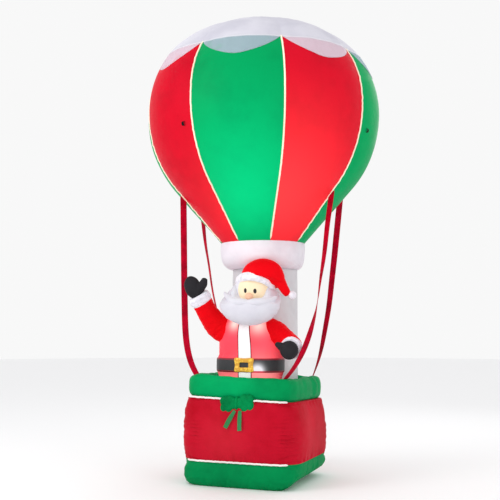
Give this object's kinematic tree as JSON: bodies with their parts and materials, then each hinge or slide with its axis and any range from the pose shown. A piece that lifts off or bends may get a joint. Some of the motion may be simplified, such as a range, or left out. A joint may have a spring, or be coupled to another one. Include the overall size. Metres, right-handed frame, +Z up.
{
  "type": "festive yard inflatable",
  "caption": "Tall lit yard inflatable: a bearded figure in a red coat and hat waves from the basket of a red and green hot air balloon.",
  "frame": {"origin": "on the ground under the balloon's vertical axis, at the middle of the underside", "axes": "+Z up the balloon's axis; the figure and the bow face -Y; +X is on the side of the lowered arm"},
  "size_m": [1.8648, 1.8648, 3.66],
  "materials": {
    "green_cloth": "matte",
    "red_cloth": "matte",
    "crimson_cloth": "matte",
    "white_cloth": "matte",
    "red_webbing": "matte",
    "black_cloth": "matte",
    "gold_cloth": "satin",
    "skin_cloth": "matte",
    "nose_cloth": "matte"
  },
  "bodies": {
    "root": {"balloon": "green_cloth", "snow_cap": "white_cloth", "balloon_skirt": "white_cloth", "column": "white_cloth", "strap_front_left": "red_webbing", "strap_front_right": "red_webbing", "strap_back_left": "red_webbing", "strap_back_right": "red_webbing", "tether_tab_1": "black_cloth", "tether_tab_2": "black_cloth", "tether_tab_3": "black_cloth", "tether_tab_4": "black_cloth", "basket": "crimson_cloth", "basket_base": "green_cloth", "basket_rim": "green_cloth", "rim_piping": "white_cloth", "base_piping": "white_cloth", "bow": "green_cloth", "bow_tail_left": "green_cloth", "bow_tail_right": "green_cloth", "coat": "red_cloth", "coat_trim": "white_cloth", "belt": "black_cloth", "buckle": "gold_cloth", "raised_sleeve": "red_cloth", "raised_cuff": "white_cloth", "raised_mitten": "black_cloth", "lowered_sleeve": "red_cloth", "lowered_cuff": "white_cloth", "lowered_mitten": "black_cloth", "head": "skin_cloth", "beard": "white_cloth", "moustache": "white_cloth", "nose": "nose_cloth", "hat": "red_cloth", "hat_band": "white_cloth", "pompom": "white_cloth"}
  },
  "joints": []
}
